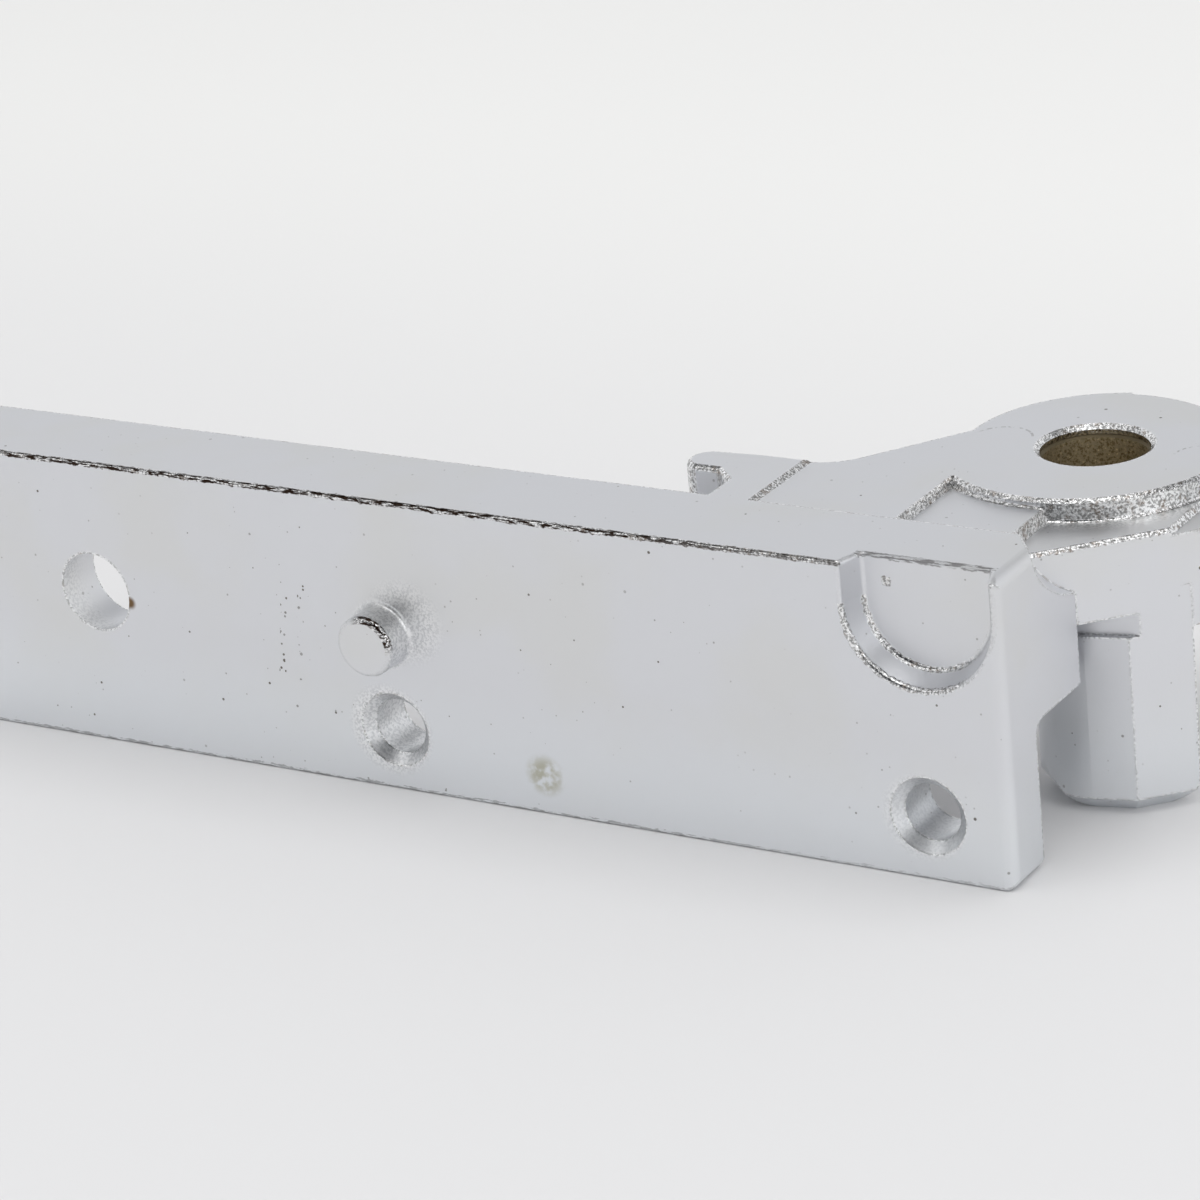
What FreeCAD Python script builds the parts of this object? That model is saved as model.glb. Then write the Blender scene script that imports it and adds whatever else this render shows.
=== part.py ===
"""Refrigerator door hinge: a die-cast bracket and its pivot bush.

Millimetres, +Z up. X runs along the mounting plate and is 0 at the plate's free end. Y is 0 on the
mounting face and grows towards the pivot. Z is 0 on the plate's lower edge, which the hinge rests on.
"""
import math
import os
import FreeCAD, Part
import Sketcher

# Driving dimensions. Places along the plate are counted from its free end.
SIZES = {
    # Mounting plate with a deeper flange along its upper edge
    "plate_length": 122.0,
    "plate_height": 30.0,
    "plate_thickness": 5.8,
    "flange_depth": 10.9,
    "flange_height": 6.0,
    "flange_fillet": 1.5,
    "far_corner_round": 4.0,
    "free_end_round": 1.2,
    "plate_edge_round": 0.35,
    # Screw holes, bored from the mounting face
    "lower_hole_near": 8.35,
    "lower_hole_far": 65.8,
    "lower_hole_height": 6.3,
    "lower_hole_diameter": 5.6,
    "lower_hole_rim": 7.6,
    "upper_hole_place": 100.2,
    "upper_hole_height": 16.2,
    "upper_hole_diameter": 8.1,
    "upper_hole_mouth": 9.2,
    # Locating peg on the mounting face
    "peg_place": 65.9,
    "peg_height": 16.2,
    "peg_diameter": 6.1,
    "peg_length": 3.4,
    "peg_root_round": 0.5,
    "peg_tip_round": 0.5,
    # Round-bottomed pocket in the mounting face, open at the top
    "pocket_place": 8.2,
    "pocket_height": 26.0,
    "pocket_radius": 7.4,
    "pocket_depth": 2.7,
    "pocket_draft": 20.0,
    "pocket_floor_round": 0.5,
    "pocket_rim_round": 0.4,
    # Arm that carries the pivot, with a short tab at its far side
    "arm_bottom": 17.7,
    "arm_left": 35.0,
    "arm_width": 21.9,
    "neck_place": 28.0,
    "neck_angle": 54.4,
    "neck_run": 18.0,
    "neck_round": 6.0,
    "flank_distance": 15.0,
    "flank_edge_round": 0.5,
    "tab_length": 6.9,
    "tab_back": 21.45,
    "tab_width": 4.3,
    "tab_flare": 2.6,
    "tab_edge_round": 0.6,
    # Stepped top of the arm: where each step starts and how far it drops
    "first_step": -30.8,
    "second_step": -15.9,
    "third_step": -5.1,
    "fourth_step": 6.3,
    "first_drop": 0.35,
    "second_drop": 0.9,
    "third_drop": 1.25,
    "fourth_drop": 0.6,
    "first_run": 0.6,
    "step_run": 0.3,
    # Root block under the arm, and the hollow shoulder above it at the plate's free end
    "root_bottom": 14.2,
    "root_fillet": 1.5,
    "shoulder_front": 7.0,
    "shoulder_bottom": 23.1,
    "shoulder_inset": 3.5,
    "shoulder_radius": 8.0,
    # Pivot bore, the eye round it, and the raised disc, which the casting has a little off centre
    "pivot_offset": 6.6,
    "pivot_distance": 33.85,
    "eye_place": 5.95,
    "eye_distance": 34.45,
    "eye_radius": 13.4,
    "disc_place": 7.25,
    "disc_distance": 33.6,
    "disc_radius": 14.0,
    "disc_rim_bevel": 0.35,
    "disc_root_round": 0.3,
    "lip_thickness": 0.9,
    "lip_diameter": 10.4,
    "lip_chamfer": 0.45,
    "bush_bore": 10.0,
    "bush_wall": 1.0,
    "bush_chamfer": 0.3,
    # Post under the arm, and the groove in front of its top
    "post_corner": 3.4,
    "post_flat": 6.2,
    "post_front": 4.2,
    "post_turn": 13.5,
    "post_radius": 6.0,
    "post_bevel": 1.5,
    "post_heel_round": 4.0,
    "post_toe_round": 3.0,
    "groove_height": 2.2,
    "groove_bite": 0.6,
}

# Cuts run this far past the surface that they open
OVERRUN = 2.0

# Every sketch looks along its own third axis
NORMAL = FreeCAD.Vector(0, 0, 1)

# The flank stands at this angle to the plate, which is why its formulas hold the square root of two
FLANK_TURN = 45

# Two lengths closer than this are taken for the same
SLACK = 0.01

doc = FreeCAD.newDocument("door_hinge")
sheet = doc.addObject("Spreadsheet::Sheet", "Sizes")
for row, (alias, value) in enumerate(SIZES.items(), start=1):
    sheet.set(f"A{row}", alias)
    sheet.set(f"B{row}", str(value))
    sheet.setAlias(f"B{row}", alias)
doc.recompute()


def size(alias):
    """Return one driving dimension as a number, read back from the sheet."""
    return float(getattr(sheet, alias))


def value(formula):
    """Work out a formula over the sheet's dimensions to a number."""
    return float(sheet.evalExpression(formula))


def point(place):
    """Work out a pair of formulas to a point in a sketch."""
    return FreeCAD.Vector(value(place[0]), value(place[1]), 0)


def origin_plane(body, role):
    """Find one of a body's own origin planes by its role."""
    return next(item for item in body.Origin.OriginFeatures if item.Role == role)


def new_sketch(body, name, role, lift="0"):
    """Attach an empty sketch to an origin plane, raised along the plane's normal by a formula."""
    sketch = body.newObject("Sketcher::SketchObject", name)
    sketch.AttachmentSupport = (origin_plane(body, role), [""])
    sketch.MapMode = "FlatFace"
    sketch.setExpression("AttachmentOffset.Base.z", lift)
    return sketch


def bind(sketch, kind, places, formula):
    """Add a dimension at its drawn value, then drive it with a formula."""
    if kind == "Radius":
        drawn = sketch.Geometry[places[0]].Radius
    else:
        point = sketch.getPoint(*places)
        drawn = point.x if kind == "DistanceX" else point.y
        places = (-1, 1, *places)
    index = sketch.addConstraint(Sketcher.Constraint(kind, *places, drawn))
    sketch.setExpression(f"Constraints[{index}]", formula)


def polygon(body, name, role, corners, lift="0"):
    """Draw a closed polygon whose corners are pairs of formulas."""
    sketch = new_sketch(body, name, role, lift)
    count = len(corners)
    ring = [FreeCAD.Vector(math.cos(2 * math.pi * k / count), math.sin(2 * math.pi * k / count), 0)
            for k in range(count)]
    for k in range(count):
        sketch.addGeometry(Part.LineSegment(ring[k], ring[(k + 1) % count]), False)
    for k in range(count):
        sketch.addConstraint(Sketcher.Constraint("Coincident", k, 2, (k + 1) % count, 1))
    for k, (across, up) in enumerate(corners):
        bind(sketch, "DistanceX", (k, 1), across)
        bind(sketch, "DistanceY", (k, 1), up)
    return sketch


def outline(sketch, pieces):
    """Draw lines and arcs, and join each one's end to the next one's start."""
    for piece in pieces:
        sketch.addGeometry(piece, False)
    count = len(pieces)
    for k in range(count):
        sketch.addConstraint(Sketcher.Constraint("Coincident", k, 2, (k + 1) % count, 1))


def crossing(one, other, rank):
    """Find where two curves of a sketch meet, with the crossings ranked from front to back."""
    places = sorted((place.Y, place.X) for place in one.intersect(other))
    return FreeCAD.Vector(places[rank][1], places[rank][0], 0)


def circle(body, name, role, centre, radius, lift="0"):
    """Draw a circle whose centre and radius are formulas."""
    sketch = new_sketch(body, name, role, lift)
    sketch.addGeometry(Part.Circle(FreeCAD.Vector(1, 1, 0), NORMAL, 1), False)
    bind(sketch, "DistanceX", (0, 3), centre[0])
    bind(sketch, "DistanceY", (0, 3), centre[1])
    bind(sketch, "Radius", (0,), radius)
    return sketch


def extrude(body, kind, sketch, length, backwards=False, draft=None):
    """Pad or pocket a sketch by a formula, and check that it really changed the solid."""
    before = body.Shape.Volume if body.Tip else 0.0
    feature = body.newObject(f"PartDesign::{kind}", f"{sketch.Name}_{kind.lower()}")
    feature.Profile = sketch
    feature.setExpression("Length", length)
    feature.Reversed = backwards
    if draft:
        feature.setExpression("TaperAngle", draft)
    sketch.Visibility = False
    doc.recompute()
    change = feature.Shape.Volume - before
    wanted = change > 0 if kind == "Pad" else change < 0
    if not wanted:
        raise RuntimeError(f"{feature.Name} changed the volume by {change:.2f}")
    return feature


def turn_to_flank(sketch):
    """Turn a sketch of the mounting face about the vertical until it lies in the flank."""
    sketch.AttachmentOffset = FreeCAD.Placement(
        FreeCAD.Vector(0, 0, -size("flank_distance")), FreeCAD.Rotation(FreeCAD.Vector(0, 1, 0), FLANK_TURN))


def rounded_corner(body, name, end, outward, radius):
    """Draw, in the flank, what a round leaves outside itself at one lower end of the post."""
    sketch = new_sketch(body, name, "XZ_Plane", lift="-Sizes.flank_distance")
    turn_to_flank(sketch)
    middle = f"{end} - {outward} * {radius}"
    beyond = f"{end} + {outward} * {OVERRUN}"
    below = f"-{OVERRUN}"
    corners = [(end, radius), (beyond, radius), (beyond, below), (middle, below), (middle, "0")]
    first, last = -math.pi / 2, 0.0
    foot_end, tip_end = 1, 2
    if outward < 0:
        corners.reverse()
        first, last = math.pi, 1.5 * math.pi
        foot_end, tip_end = tip_end, foot_end
    points = [point(corner) for corner in corners]
    arc = Part.ArcOfCircle(Part.Circle(point((middle, radius)), NORMAL, value(radius)), first, last)
    outline(sketch, [arc, *(Part.LineSegment(start, stop) for start, stop in zip(points, points[1:]))])
    bind(sketch, "DistanceX", (0, 3), middle)
    bind(sketch, "DistanceY", (0, 3), radius)
    bind(sketch, "Radius", (0,), radius)
    bind(sketch, "DistanceX", (0, foot_end), middle)
    bind(sketch, "DistanceY", (0, tip_end), radius)
    for line, (across, up) in enumerate(corners[1:-1], start=2):
        bind(sketch, "DistanceX", (line, 1), across)
        bind(sketch, "DistanceY", (line, 1), up)
    return sketch


def soften(body, kind, name, amount, wanted):
    """Fillet or chamfer the edges of the body's tip that a test picks."""
    base = body.Tip
    names = [f"Edge{n}" for n, edge in enumerate(base.Shape.Edges, start=1) if wanted(edge)]
    if not names:
        raise RuntimeError(f"{name} finds no edge")
    feature = body.newObject(f"PartDesign::{kind}", name)
    feature.Base = (base, names)
    feature.setExpression("Radius" if kind == "Fillet" else "Size", amount)
    doc.recompute()
    return feature


def near(one, other):
    """Say whether two lengths are the same within the slack."""
    return abs(one - other) < SLACK


def curve(edge):
    """Return the curve under an edge, or None where its kind is unknown."""
    try:
        return edge.Curve
    except TypeError:
        return None


def along(edge, axis):
    """Say whether an edge is a straight line along one axis."""
    span = edge.Vertexes[-1].Point - edge.Vertexes[0].Point
    rest = [abs(getattr(span, other)) for other in "xyz" if other != axis]
    return isinstance(curve(edge), Part.Line) and max(rest) < SLACK


def on_line(edge, **fixed):
    """Say whether every vertex of an edge lies at the given coordinates."""
    return all(near(getattr(vertex.Point, axis), place)
               for vertex in edge.Vertexes for axis, place in fixed.items())


def ring(edge, radius, **fixed):
    """Say whether an edge is an arc or circle of the given radius at the given coordinates."""
    return isinstance(curve(edge), Part.Circle) and near(edge.Curve.Radius, radius) and on_line(edge, **fixed)


# Formulas shared by several sketches
TOP = "Sizes.plate_height"
PLATE = "Sizes.plate_thickness"
DISC_TOP = "(Sizes.plate_height - Sizes.first_drop)"
PIVOT = ("-Sizes.pivot_offset", "Sizes.pivot_distance")
EYE = ("-Sizes.eye_place", "Sizes.eye_distance")
FLANK = "((Sizes.eye_place + Sizes.eye_distance - Sizes.flank_distance) / sqrt(2))"
ABOVE = f"{TOP} + {OVERRUN}"
FOOT_X = "((Sizes.eye_distance - Sizes.eye_place - Sizes.flank_distance) / 2)"
FOOT_Y = f"({FOOT_X} + Sizes.flank_distance)"
SHELF_RADIUS = f"(({FLANK} + Sizes.eye_radius) / 2)"
SHELF_SHIFT = f"(({FLANK} - Sizes.eye_radius) / (2 * sqrt(2)))"
SHELF = (f"{EYE[0]} + {SHELF_SHIFT}", f"{EYE[1]} - {SHELF_SHIFT}")
DISC = ("-Sizes.disc_place", "Sizes.disc_distance")
TURN_COS = "cos(Sizes.post_turn * 1 deg)"
TURN_SIN = "sin(Sizes.post_turn * 1 deg)"

bracket = doc.addObject("PartDesign::Body", "hinge_bracket")
bracket.Label = "hinge_bracket"

# Mounting plate and its flange, both drawn on the mounting face
extrude(bracket, "Pad", polygon(bracket, "plate", "XZ_Plane", [
    ("-Sizes.plate_length", "0"),
    ("0", "0"),
    ("0", TOP),
    ("-Sizes.plate_length", TOP),
]), PLATE, backwards=True)
extrude(bracket, "Pad", polygon(bracket, "flange", "XZ_Plane", [
    ("-Sizes.plate_length", f"{TOP} - Sizes.flange_height"),
    ("0", f"{TOP} - Sizes.flange_height"),
    ("0", TOP),
    ("-Sizes.plate_length", TOP),
]), "Sizes.flange_depth", backwards=True)

# Arm in plan: plate, flank, pivot eye and neck, then the tab
ARM_DEPTH = f"{TOP} - Sizes.arm_bottom"
TAB_CENTRE = "-(Sizes.arm_left + Sizes.tab_length - Sizes.tab_width / 2)"
TAB_FRONT = "(Sizes.tab_back - Sizes.tab_width)"
extrude(bracket, "Pad", polygon(bracket, "arm", "XY_Plane", [
    ("-Sizes.arm_left", f"{PLATE} / 2"),
    ("0", f"{PLATE} / 2"),
    ("0", "Sizes.flank_distance"),
    (FOOT_X, FOOT_Y),
    (FOOT_X, EYE[1]),
    EYE,
    ("-Sizes.neck_place + Sizes.neck_run * cos(Sizes.neck_angle * 1 deg)",
     "Sizes.arm_width + Sizes.neck_run * sin(Sizes.neck_angle * 1 deg)"),
    ("-Sizes.neck_place", "Sizes.arm_width"),
    ("-Sizes.arm_left", "Sizes.arm_width"),
], lift="Sizes.arm_bottom"), ARM_DEPTH)
extrude(bracket, "Pad", circle(bracket, "eye", "XY_Plane", EYE, "Sizes.eye_radius", lift="Sizes.arm_bottom"),
        ARM_DEPTH)
soften(bracket, "Fillet", "neck", "Sizes.neck_round",
       lambda edge: along(edge, "z") and on_line(edge, x=-size("neck_place"), y=size("arm_width")))
extrude(bracket, "Pad", polygon(bracket, "tab", "XY_Plane", [
    ("-Sizes.arm_left", "Sizes.arm_width"),
    (TAB_CENTRE, "Sizes.tab_back"),
    (TAB_CENTRE, TAB_FRONT),
    ("-Sizes.arm_left - Sizes.tab_flare", TAB_FRONT),
    ("-Sizes.arm_left", f"{TAB_FRONT} - Sizes.tab_flare"),
], lift="Sizes.arm_bottom"), ARM_DEPTH)
extrude(bracket, "Pad", circle(bracket, "tab_tip", "XY_Plane", (
    TAB_CENTRE,
    "Sizes.tab_back - Sizes.tab_width / 2",
), "Sizes.tab_width / 2", lift="Sizes.arm_bottom"), ARM_DEPTH)

# Stepped top: one pocket behind the flange, with the steps as its profile
LEVELS = [TOP]
for drop in ("first", "second", "third", "fourth"):
    LEVELS.append(f"{LEVELS[-1]} - Sizes.{drop}_drop")
stairs = [("Sizes.first_step", ABOVE), ("Sizes.first_step", TOP)]
for drop, level, next_level in zip(("first", "second", "third", "fourth"), LEVELS, LEVELS[1:]):
    if drop != "first":
        stairs.append((f"Sizes.{drop}_step", level))
    run = "first_run" if drop == "first" else "step_run"
    stairs.append((f"Sizes.{drop}_step + Sizes.{run}", next_level))
far_side = f"{FOOT_X} + 2 * {SHELF_RADIUS}"
stairs += [(far_side, LEVELS[-1]), (far_side, ABOVE)]
extrude(bracket, "Pocket", polygon(bracket, "stairs", "XZ_Plane", stairs, lift="-Sizes.flange_depth"),
        f"{EYE[1]} + 2 * {SHELF_RADIUS}")

# Shelf at the foot of the disc: a half circle that leaves the flank and closes on the eye's back
shelf = new_sketch(bracket, "shelf", "XY_Plane", lift="Sizes.arm_bottom")
shelf_ring = Part.Circle(point(SHELF), NORMAL, value(SHELF_RADIUS))
half_circle = Part.ArcOfCircle(shelf_ring, -math.pi / 4, 3 * math.pi / 4)
outline(shelf, [half_circle, Part.LineSegment(half_circle.EndPoint, half_circle.StartPoint)])
bind(shelf, "DistanceX", (0, 3), SHELF[0])
bind(shelf, "DistanceY", (0, 3), SHELF[1])
bind(shelf, "Radius", (0,), SHELF_RADIUS)
bind(shelf, "DistanceX", (0, 1), FOOT_X)
bind(shelf, "DistanceX", (0, 2), f"{EYE[0]} - Sizes.eye_radius / sqrt(2)")
extrude(bracket, "Pad", shelf, f"{LEVELS[-1]} - Sizes.arm_bottom")

# Raised disc: its own arc in front, the eye's arc behind, and a straight side inside the arm
disc = new_sketch(bracket, "disc", "XY_Plane", lift="Sizes.arm_bottom")
disc_ring = Part.Circle(point(DISC), NORMAL, size("disc_radius"))
eye_ring = Part.Circle(point(EYE), NORMAL, size("eye_radius"))
INNER_SIDE = f"Sizes.second_step - {OVERRUN}"
half_side = FreeCAD.Vector(0, size("disc_radius"), 0)
side = Part.LineSegment(point((INNER_SIDE, DISC[1])) + half_side, point((INNER_SIDE, DISC[1])) - half_side)
behind = crossing(disc_ring, eye_ring, -1)
back_end = crossing(eye_ring, side, -1)
front_end = crossing(disc_ring, side, 0)
outline(disc, [
    Part.ArcOfCircle(disc_ring, disc_ring.parameter(front_end), disc_ring.parameter(behind)),
    Part.ArcOfCircle(eye_ring, eye_ring.parameter(behind), eye_ring.parameter(back_end)),
    Part.LineSegment(back_end, front_end),
])
disc.addConstraint(Sketcher.Constraint("Vertical", 2))
bind(disc, "DistanceX", (0, 3), DISC[0])
bind(disc, "DistanceY", (0, 3), DISC[1])
bind(disc, "Radius", (0,), "Sizes.disc_radius")
bind(disc, "DistanceX", (1, 3), EYE[0])
bind(disc, "DistanceY", (1, 3), EYE[1])
bind(disc, "Radius", (1,), "Sizes.eye_radius")
bind(disc, "DistanceX", (2, 1), INNER_SIDE)
extrude(bracket, "Pad", disc, f"{DISC_TOP} - Sizes.arm_bottom")

# Bevel on the disc's rim, from the second step round the front to where the eye's arc takes over
RIM_FOOT = f"{DISC_TOP} - Sizes.disc_rim_bevel"
RIM_INSIDE = "Sizes.disc_radius - Sizes.disc_rim_bevel"
rim = polygon(bracket, "disc_rim", "XZ_Plane", [
    (RIM_INSIDE, DISC_TOP),
    ("Sizes.disc_radius", RIM_FOOT),
    ("Sizes.disc_radius", ABOVE),
    (RIM_INSIDE, ABOVE),
], lift=f"-{DISC[1]}")
rim_start = -math.degrees(math.acos((size("disc_place") + size("second_step")) / size("disc_radius")))
rim_place = FreeCAD.Vector(-size("disc_place"), 0, -size("disc_distance"))
rim.AttachmentOffset = FreeCAD.Placement(rim_place, FreeCAD.Rotation(FreeCAD.Vector(0, 1, 0), rim_start))
rim_cut = bracket.newObject("PartDesign::Groove", "disc_rim_groove")
rim_cut.Profile = rim
rim_cut.ReferenceAxis = (rim, ["V_Axis"])
rim_cut.Angle = math.degrees(disc_ring.parameter(behind)) - rim_start
doc.recompute()

# Root block that carries the arm on the plate
extrude(bracket, "Pad", polygon(bracket, "root", "XY_Plane", [
    ("-Sizes.arm_left", f"{PLATE} / 2"),
    ("0", f"{PLATE} / 2"),
    ("0", "Sizes.flank_distance"),
    ("-Sizes.arm_left", "Sizes.flank_distance"),
], lift="Sizes.root_bottom"), "Sizes.arm_bottom - Sizes.root_bottom")

# Post under the arm: its flat lies in the flank, its front is turned, and its far side is round
CORNER = ("Sizes.post_corner", "(Sizes.post_corner + Sizes.flank_distance)")
FLAT_END = (f"({CORNER[0]} + Sizes.post_flat / sqrt(2))", f"({CORNER[1]} + Sizes.post_flat / sqrt(2))")
FRONT_END = (f"({CORNER[0]} - Sizes.post_front * {TURN_COS})",
             f"({CORNER[1]} - Sizes.post_front * {TURN_SIN})")
BACK_RUN = (f"((2 * Sizes.post_radius - Sizes.post_flat * ({TURN_COS} - {TURN_SIN}) / sqrt(2))"
            f" / ({TURN_COS} + {TURN_SIN}))")
POST_TOP = f"Sizes.arm_bottom + Sizes.groove_height + {OVERRUN}"
extrude(bracket, "Pad", polygon(bracket, "post", "XY_Plane", [
    CORNER,
    FLAT_END,
    (f"{FLAT_END[0]} - {BACK_RUN}", f"{FLAT_END[1]} + {BACK_RUN}"),
    (f"{FRONT_END[0]} - 2 * Sizes.post_radius * {TURN_SIN}",
     f"{FRONT_END[1]} + 2 * Sizes.post_radius * {TURN_COS}"),
    FRONT_END,
]), POST_TOP)
CENTRE_X = f"({FRONT_END[0]} - Sizes.post_radius * {TURN_SIN})"
CENTRE_Y = f"({FRONT_END[1]} + Sizes.post_radius * {TURN_COS})"
extrude(bracket, "Pad", circle(bracket, "post_side", "XY_Plane", (CENTRE_X, CENTRE_Y), "Sizes.post_radius"),
        POST_TOP)

# Groove between the root block and the post, cut up into the arm
BITE = f"(Sizes.groove_bite / ({TURN_COS} - {TURN_SIN}))"
GROOVE_END = (f"({CORNER[0]} + {BITE})", f"({CORNER[1]} + {BITE})")
extrude(bracket, "Pocket", polygon(bracket, "groove", "XY_Plane", [
    ("0", "Sizes.flank_distance"),
    (f"{OVERRUN}", "Sizes.flank_distance"),
    (f"{GROOVE_END[0]} + {OVERRUN} * {TURN_COS}", f"{GROOVE_END[1]} + {OVERRUN} * {TURN_SIN}"),
    (f"{GROOVE_END[0]} - {GROOVE_END[0]} * {TURN_COS} / {TURN_SIN}", "Sizes.flank_distance"),
], lift="Sizes.arm_bottom"), "Sizes.groove_height", backwards=True)

# Shoulder: a hollow cut over the outer corner of the root block, drawn in the flank
shoulder = new_sketch(bracket, "shoulder", "XZ_Plane", lift="-Sizes.flank_distance")
HIGH = ("-Sizes.shoulder_inset * sqrt(2)", TOP)
LOW = ("0", "Sizes.shoulder_bottom")
high, low = point(HIGH), point(LOW)
above, above_high = point((LOW[0], ABOVE)), point((HIGH[0], ABOVE))
half_chord = (low - high) / 2
away = FreeCAD.Vector(-half_chord.y, half_chord.x, 0).normalize()
depth = math.sqrt(size("shoulder_radius") ** 2 - half_chord.Length ** 2)
hollow = Part.Circle(high + half_chord + away * depth, NORMAL, size("shoulder_radius"))
outline(shoulder, [
    Part.ArcOfCircle(hollow, hollow.parameter(high), hollow.parameter(low)),
    Part.LineSegment(low, above),
    Part.LineSegment(above, above_high),
    Part.LineSegment(above_high, high),
])
shoulder.addConstraint(Sketcher.Constraint("Vertical", 1))
shoulder.addConstraint(Sketcher.Constraint("Horizontal", 2))
shoulder.addConstraint(Sketcher.Constraint("Vertical", 3))
bind(shoulder, "Radius", (0,), "Sizes.shoulder_radius")
bind(shoulder, "DistanceX", (0, 1), HIGH[0])
bind(shoulder, "DistanceY", (0, 1), HIGH[1])
bind(shoulder, "DistanceX", (0, 2), LOW[0])
bind(shoulder, "DistanceY", (0, 2), LOW[1])
bind(shoulder, "DistanceY", (1, 2), ABOVE)
turn_to_flank(shoulder)
shoulder_cut = bracket.newObject("PartDesign::Pocket", "shoulder_pocket")
shoulder_cut.Profile = shoulder
shoulder_cut.UseCustomVector = True
shoulder_cut.AlongSketchNormal = False
shoulder_cut.setExpression("Direction.x", "Sizes.shoulder_inset")
shoulder_cut.setExpression("Direction.y",
                           "Sizes.shoulder_front - Sizes.flank_distance + Sizes.shoulder_inset")
shoulder_cut.Direction.z = 0
shoulder_cut.setExpression("Length", "2 * Sizes.flank_distance")
doc.recompute()

# Plate corners, the roots behind the plate, and the plate's rounded free end
soften(bracket, "Fillet", "far_corners", "Sizes.far_corner_round", lambda edge: (
    along(edge, "y") and on_line(edge, x=-size("plate_length"))
    and (on_line(edge, z=0) or on_line(edge, z=size("plate_height")))))
soften(bracket, "Fillet", "flange_root", "Sizes.flange_fillet", lambda edge: along(edge, "x")
       and on_line(edge, y=size("plate_thickness"), z=size("plate_height") - size("flange_height")))
soften(bracket, "Fillet", "root_underside", "Sizes.root_fillet", lambda edge: along(edge, "x")
       and on_line(edge, y=size("plate_thickness"), z=size("root_bottom")))
soften(bracket, "Fillet", "free_end", "Sizes.free_end_round", lambda edge: (
    along(edge, "z") and on_line(edge, x=0, y=0))
    or (along(edge, "y") and (on_line(edge, x=0, z=0) or on_line(edge, x=0, z=size("plate_height")))))

# Bore for the bush, closed at the top by a thin lip
extrude(bracket, "Pocket", circle(bracket, "bush_seat", "XY_Plane", PIVOT,
                                  "Sizes.bush_bore / 2 + Sizes.bush_wall", lift="Sizes.arm_bottom"),
        f"{DISC_TOP} - Sizes.lip_thickness - Sizes.arm_bottom", backwards=True)
extrude(bracket, "Pocket", circle(bracket, "lip_hole", "XY_Plane", PIVOT,
                                  "Sizes.lip_diameter / 2", lift=DISC_TOP),
        "Sizes.lip_thickness")

# Screw holes
for end in ("near", "far"):
    extrude(bracket, "Pocket", circle(bracket, f"{end}_hole", "XZ_Plane",
                                      (f"-Sizes.lower_hole_{end}", "Sizes.lower_hole_height"),
                                      "Sizes.lower_hole_diameter / 2"), PLATE)
extrude(bracket, "Pocket", circle(bracket, "upper_hole", "XZ_Plane",
                                  ("-Sizes.upper_hole_place", "Sizes.upper_hole_height"),
                                  "Sizes.upper_hole_diameter / 2"), PLATE,
        draft="atan((Sizes.upper_hole_mouth - Sizes.upper_hole_diameter) / 2 / Sizes.plate_thickness)")

# Pocket in the mounting face
pocket = new_sketch(bracket, "face_pocket", "XZ_Plane")
middle = point(("-Sizes.pocket_place", "Sizes.pocket_height"))
bowl = Part.ArcOfCircle(Part.Circle(middle, NORMAL, size("pocket_radius")), math.pi, 2 * math.pi)
climb = FreeCAD.Vector(0, value(ABOVE) - size("pocket_height"), 0)
left, right = bowl.StartPoint, bowl.EndPoint
outline(pocket, [
    Part.LineSegment(left + climb, left),
    bowl,
    Part.LineSegment(right, right + climb),
    Part.LineSegment(right + climb, left + climb),
])
pocket.addConstraint(Sketcher.Constraint("Vertical", 0))
pocket.addConstraint(Sketcher.Constraint("Vertical", 2))
pocket.addConstraint(Sketcher.Constraint("Horizontal", 3))
bind(pocket, "DistanceX", (1, 3), "-Sizes.pocket_place")
bind(pocket, "DistanceY", (1, 3), "Sizes.pocket_height")
bind(pocket, "DistanceX", (0, 1), "-Sizes.pocket_place - Sizes.pocket_radius")
bind(pocket, "DistanceY", (0, 1), ABOVE)
bind(pocket, "DistanceY", (0, 2), "Sizes.pocket_height")
bind(pocket, "DistanceY", (2, 1), "Sizes.pocket_height")
extrude(bracket, "Pocket", pocket, "Sizes.pocket_depth", draft="-Sizes.pocket_draft * 1 deg")

# Foot of the post: bevelled all round, then rounded at both ends of the flat
soften(bracket, "Chamfer", "post_foot", "Sizes.post_bevel",
       lambda edge: on_line(edge, z=0) and edge.BoundBox.YMin > size("flange_depth"))
HEEL = f"(({CENTRE_X} + {CENTRE_Y} - Sizes.flank_distance) / sqrt(2) - Sizes.post_radius)"
TOE = "(Sizes.post_corner * sqrt(2) + Sizes.post_flat)"
extrude(bracket, "Pocket", rounded_corner(bracket, "post_heel", HEEL, -1, "Sizes.post_heel_round"),
        "4 * Sizes.post_radius")
extrude(bracket, "Pocket", rounded_corner(bracket, "post_toe", TOE, 1, "Sizes.post_toe_round"),
        "4 * Sizes.post_radius")

# Locating peg
extrude(bracket, "Pad", circle(bracket, "peg", "XZ_Plane", ("-Sizes.peg_place", "Sizes.peg_height"),
                               "Sizes.peg_diameter / 2"), "Sizes.peg_length")
soften(bracket, "Fillet", "peg_root", "Sizes.peg_root_round",
       lambda edge: ring(edge, size("peg_diameter") / 2, y=0))
soften(bracket, "Fillet", "peg_tip", "Sizes.peg_tip_round",
       lambda edge: ring(edge, size("peg_diameter") / 2, y=-size("peg_length")))

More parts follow.
